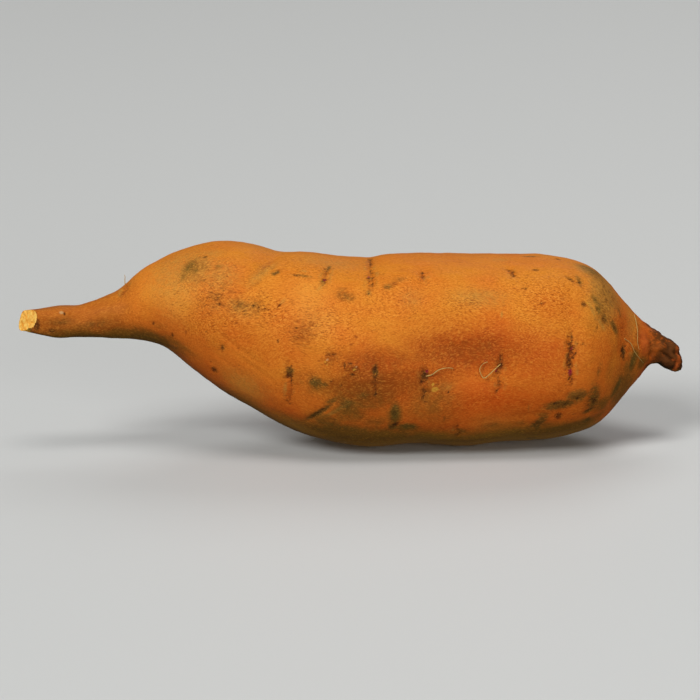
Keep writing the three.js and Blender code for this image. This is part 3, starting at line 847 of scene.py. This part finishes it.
def makeCuredSkin(look):
    times = {"operation": "MULTIPLY"}
    material, add = newMaterial("curedSkin")
    place = add("TexCoord").outputs["Object"]
    mask = {name: add("Attribute", {"attribute_name": name}).outputs["Fac"] for name in masks}

    # the grain swirls along the root
    size, bend = look["swirl"]
    swirl = add("TexNoise", {"Scale": 1 / (size * mm), "Detail": 1.0}, {"Vector": place})
    bent = add("VectorMath", {"operation": "MULTIPLY_ADD", 1: (bend * mm,) * 3}, {
        0: swirl.outputs["Color"], 2: place})
    lengthwise = add("Mapping", {"Scale": look["stretch"]}, {"Vector": bent})
    grain = {}
    for name, (size, detail, distortion, follows) in look["grains"].items():
        grain[name] = add("TexNoise", {
            "Scale": 1 / (size * mm), "Detail": detail, "Roughness": 0.6, "Distortion": distortion}, {
            "Vector": lengthwise if follows else place})

    # slow drift from gold through orange to red
    warmer = {"operation": "MULTIPLY_ADD", 1: look["warming"]}
    lowShare = add("Math", warmer, {0: mask["low"], 2: grain["drift"]})
    warmth = add("Math", warmer, {0: grain["mottle"], 2: lowShare})
    cover = {}
    for name, (start, full) in look["warmths"].items():
        cover[name] = add("MapRange", {"From Min": start, "From Max": full}, {"Value": warmth})

    # wrinkles: creases darkened with painted shade and ridges lit with painted glints, deeper in some
    # patches than in others
    patches = add("MapRange", look["deeper"], {"Value": grain["patches"]})
    depth = add("Math", times, {0: patches, 1: mask["wrinkled"]})
    sunk = add("MapRange", look["creased"], {"Value": grain["wrinkles"]})
    glinting = add("MapRange", look["glinting"], {"Value": grain["wrinkles"]})
    cover["ridgeGlint"] = add("Math", times, {0: glinting, 1: depth})
    cover["crease"] = add("Math", times, {0: sunk, 1: depth})

    # flecks over all of it, and finer pits where it is crinkled
    flaw = {}
    shifted = add("VectorMath", {"operation": "MULTIPLY_ADD", 1: (mm,) * 3}, {
        0: grain["jitter"].outputs["Color"], 2: lengthwise})
    for name, (apart, largest, most, dent) in look["flaws"].items():
        cells = add("TexVoronoi", {"Scale": 1 / (apart * mm)}, {"Vector": shifted})
        chance = add("SeparateColor", links={0: cells.outputs["Color"]})
        reach = add("Math", {"operation": "MULTIPLY", 1: largest}, {0: chance})
        flaw[name] = add("MapRange", {"To Min": 1.0, "To Max": 0.0}, {
            "Value": cells.outputs["Distance"], "From Max": reach})
        if name == "pit":
            flaw[name] = add("Math", times, {0: flaw[name], 1: mask["crinkle"]})
        cover[name] = add("Math", {"operation": "MULTIPLY", 1: most}, {0: flaw[name]})

    def layOver(colour, names):
        for name in names:
            colour = add("Mix", {"data_type": "RGBA", 7: linearColour(look[name])}, {
                0: cover[name], 6: colour.outputs[2]})
        return colour

    colour = add("Mix", {
        "data_type": "RGBA", 6: linearColour(look["gold"]), 7: linearColour(look["orange"])}, {
        0: cover["orange"]})
    colour = layOver(colour, ("red", "fleck"))
    dull, bright = look["roughness"]
    rough = add("MapRange", {"From Min": 0.3, "From Max": 0.7, "To Min": dull, "To Max": bright}, {
        "Value": grain["mottle"]})
    for name, paint, most, size, ragged, (start, full), roughness in stains:
        edge = add("TexNoise", {"Scale": 1 / (size * mm), **look["stainGrain"]}, {"Vector": place})
        breaks = look["stainBreaks"]
        creased = add("Math", {"operation": "MULTIPLY_ADD", 1: -breaks, 2: 1 + breaks / 2 - ragged}, {
            0: grain["wrinkles"]})
        torn = add("Math", {"operation": "MULTIPLY_ADD", 1: 2 * ragged}, {0: edge, 2: creased})
        share = add("Math", times, {0: torn, 1: mask[name]})
        stained = add("MapRange", {
            "interpolation_type": "SMOOTHSTEP", "From Min": start, "From Max": full, "To Max": most}, {
            "Value": share})
        colour = add("Mix", {"data_type": "RGBA", 7: linearColour(paint)}, {
            0: stained, 6: colour.outputs[2]})
        rough = add("Mix", {"data_type": "FLOAT", 3: roughness}, {0: stained, 2: rough})
    # lays painted glints on the ridges and painted shade in the creases, then the pits
    colour = layOver(colour, ("ridgeGlint", "crease", "pit"))

    # wrinkles stand highest where the skin is wrinkled or crinkled, cut by flecks and pits
    lift = add("Math", {"operation": "ADD"}, {0: mask["crinkle"], 1: depth})
    height = add("Math", times, {0: grain["wrinkles"], 1: lift})
    for name, (apart, largest, most, dent) in look["flaws"].items():
        height = add("Math", {"operation": "MULTIPLY_ADD", 1: -dent}, {0: flaw[name], 2: height})
    bump = add("Bump", {"Distance": look["bumpHeight"] * mm}, {"Height": height})
    shader = add("BsdfPrincipled", {"IOR": look["ior"], "Specular IOR Level": look["gloss"]}, {
        "Base Color": colour.outputs[2], "Roughness": rough, "Normal": bump})
    add("OutputMaterial", links={"Surface": shader})
    return material


# Cut sweet potato flesh, dried a little: waxy and pale orange, with starchy yellow grain.
cutFlesh = {
    "colours": ("#EE9C30", "#FFCE66"),
    "grain": (1.3, 3.0, 0.6),   # size in mm, detail and roughness
    "blend": (0.38, 0.62),      # grain where the second colour starts and is full
    "bumpHeight": 0.15,         # mm
    "roughness": 0.45, "ior": 1.4,
}


def makeGrained(name, look):
    # a material in two colours, mixed by a fine grain
    material, add = newMaterial(name)
    place = add("TexCoord").outputs["Object"]
    size, detail, rough = look["grain"]
    grain = add("TexNoise", {"Scale": 1 / (size * mm), "Detail": detail, "Roughness": rough}, {
        "Vector": place})
    start, full = look["blend"]
    share = add("MapRange", {"From Min": start, "From Max": full}, {"Value": grain})
    first, second = [linearColour(paint) for paint in look["colours"]]
    links = {"Base Color": add("Mix", {"data_type": "RGBA", 6: first, 7: second}, {0: share}).outputs[2]}
    if look["bumpHeight"]:
        links["Normal"] = add("Bump", {"Distance": look["bumpHeight"] * mm}, {"Height": grain})
    shader = add("BsdfPrincipled", {"Roughness": look["roughness"], "IOR": look["ior"]}, links)
    add("OutputMaterial", links={"Surface": shader})
    return material


skinMesh = makeBody()
skinMesh.materials.append(makeCuredSkin(curedSkin))
skinMesh.materials.append(makeGrained("cutFlesh", cutFlesh))
body = addObject("sweetPotato", skinMesh)
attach(body, "root")
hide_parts("sweet_potato")
print("body finished", len(skinMesh.polygons), "faces")

rootlets = {
    "tipShare": 0.55,      # how thick the tip is beside the start
    "sides": 8,
    "steps": 14,           # rings between two points of a strand
    "knots": (0.15, 0.8),  # how much its thickness varies, and over how many mm
    "strands": [           # radius in mm, then points: place along X, bearing and height over the skin
        (0.21, [(24.6, -4.5, -0.2), (26.6, -3.2, 0.5), (28.3, -0.9, 0.8), (30.2, 0.3, 0.9), (32, 0.6, 0.7),
                (33.4, 0.2, 0.4)]),
        (0.19, [(48.9, 2.2, -0.2), (46.9, -0.8, 0.6), (45, -3.7, 0.9), (43.4, -5.4, 1), (42.4, -3.2, 1),
                (42, -0.3, 1), (43, 2.6, 0.8), (44.6, 3.8, 0.5)]),
        (0.16, [(-74.9, 96, -0.2), (-74.3, 96, 0.9), (-73.7, 96, 1.7), (-73.3, 96, 2.4)]),
        (0.13, [(94.2, 74, 0), (94.4, 60, 0.25), (94.9, 41, 0.25), (94.9, 28, 0.25), (94.8, 18, 0.2),
                (95.5, 6, 0)]),
        (0.14, [(90.5, 22, 0), (92.3, 17, 0.3), (93.7, 5, 0.25), (95.9, -13, 0.25), (97, -25, 0.1)]),
        (0.2, [(29.2, 150, -0.2), (31, 153, 0.7), (33.6, 158, 0.9), (36, 157, 0.8), (37.4, 152, 0.6)]),
        (0.18, [(-4.2, 156, -0.2), (-5.6, 160, 0.6), (-8.2, 164, 0.8), (-10.2, 171, 0.7)]),
        (0.2, [(44.4, 214, -0.2), (46, 219, 0.6), (46.4, 226, 0.8), (44.6, 232, 0.7), (42, 232, 0.5)]),
        (0.18, [(-12.2, 206, -0.2), (-14.4, 203, 0.7), (-15.6, 197, 0.8), (-14, 192, 0.6)]),
    ],
}


def onSkin(x, bearing, lift):
    # a point over the finished skin, between its rows and columns
    place = ((bearing - bearings[0]) / 360.0 * skin["columns"]) % skin["columns"]
    found = np.zeros(3)
    for column, share in ((int(place), 1 - place % 1), ((int(place) + 1) % skin["columns"], place % 1)):
        row = np.interp(x, base[:, column, 0], np.arange(len(base)))
        i, t = min(int(row), len(base) - 2), row - min(int(row), len(base) - 2)
        for k, weight in ((i, 1 - t), (i + 1, t)):
            found += share * weight * (skinGrid[k, column] + outward[k, column] * lift)
    return found


def smoothLine(points, steps):
    # a Catmull-Rom curve through the points
    points = np.array(points, float)
    padded = np.concatenate([[2 * points[0] - points[1]], points, [2 * points[-1] - points[-2]]])
    line = []
    for a, b, c, d in zip(padded, padded[1:], padded[2:], padded[3:]):
        for t in np.arange(steps) / steps:
            line.append(0.5 * (2 * b + (c - a) * t + (2 * a - 5 * b + 4 * c - d) * t ** 2
                               + (3 * b - a - 3 * c + d) * t ** 3))
    return np.array(line + [points[-1]])


def makeRootlets(settings):
    points, faces = [], []
    sides = settings["sides"]
    uneven, knot = settings["knots"]
    for radius, strand in settings["strands"]:
        line = np.array([onSkin(*p) for p in smoothLine(strand, settings["steps"])])
        ways = unit(np.gradient(line, axis=0))
        side = unit(np.cross(ways, [0.31, 0.52, 0.8]))  # no strand runs this way
        over = np.cross(ways, side)
        thin = np.linspace(1.0, settings["tipShare"], len(line))
        first = len(points)
        for centre, a, b, share in zip(line, side, over, thin):
            wobble = 1 + uneven * noise.noise(Vector(centre) / knot)
            for k in range(sides):
                turn = 2 * math.pi * k / sides
                spoke = a * math.cos(turn) + b * math.sin(turn)
                points.append(centre + spoke * radius * share * wobble)
        for i in range(len(line) - 1):
            for k in range(sides):
                a, b = first + i * sides + k, first + i * sides + (k + 1) % sides
                faces.append((a, b, b + sides, a + sides))
        last = first + (len(line) - 1) * sides
        faces.append(tuple(first + k for k in reversed(range(sides))))
        faces.append(tuple(last + k for k in range(sides)))
    return newMesh("rootlets", points, faces)


# Dried rootlet: a dead thread of root, papery and pale tan, brown where it is thickest.
driedRootlet = {
    "colours": ("#B8924A", "#7C5020"), "grain": (1.2, 2.0, 0.5), "blend": (0.55, 0.75),
    "bumpHeight": 0, "roughness": 0.7, "ior": 1.5,
}

rootletMesh = makeRootlets(rootlets)
rootletMesh.materials.append(makeGrained("driedRootlet", driedRootlet))
threads = addObject("rootlets", rootletMesh)
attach(threads, "root")
print("rootlets laid", len(rootlets["strands"]))
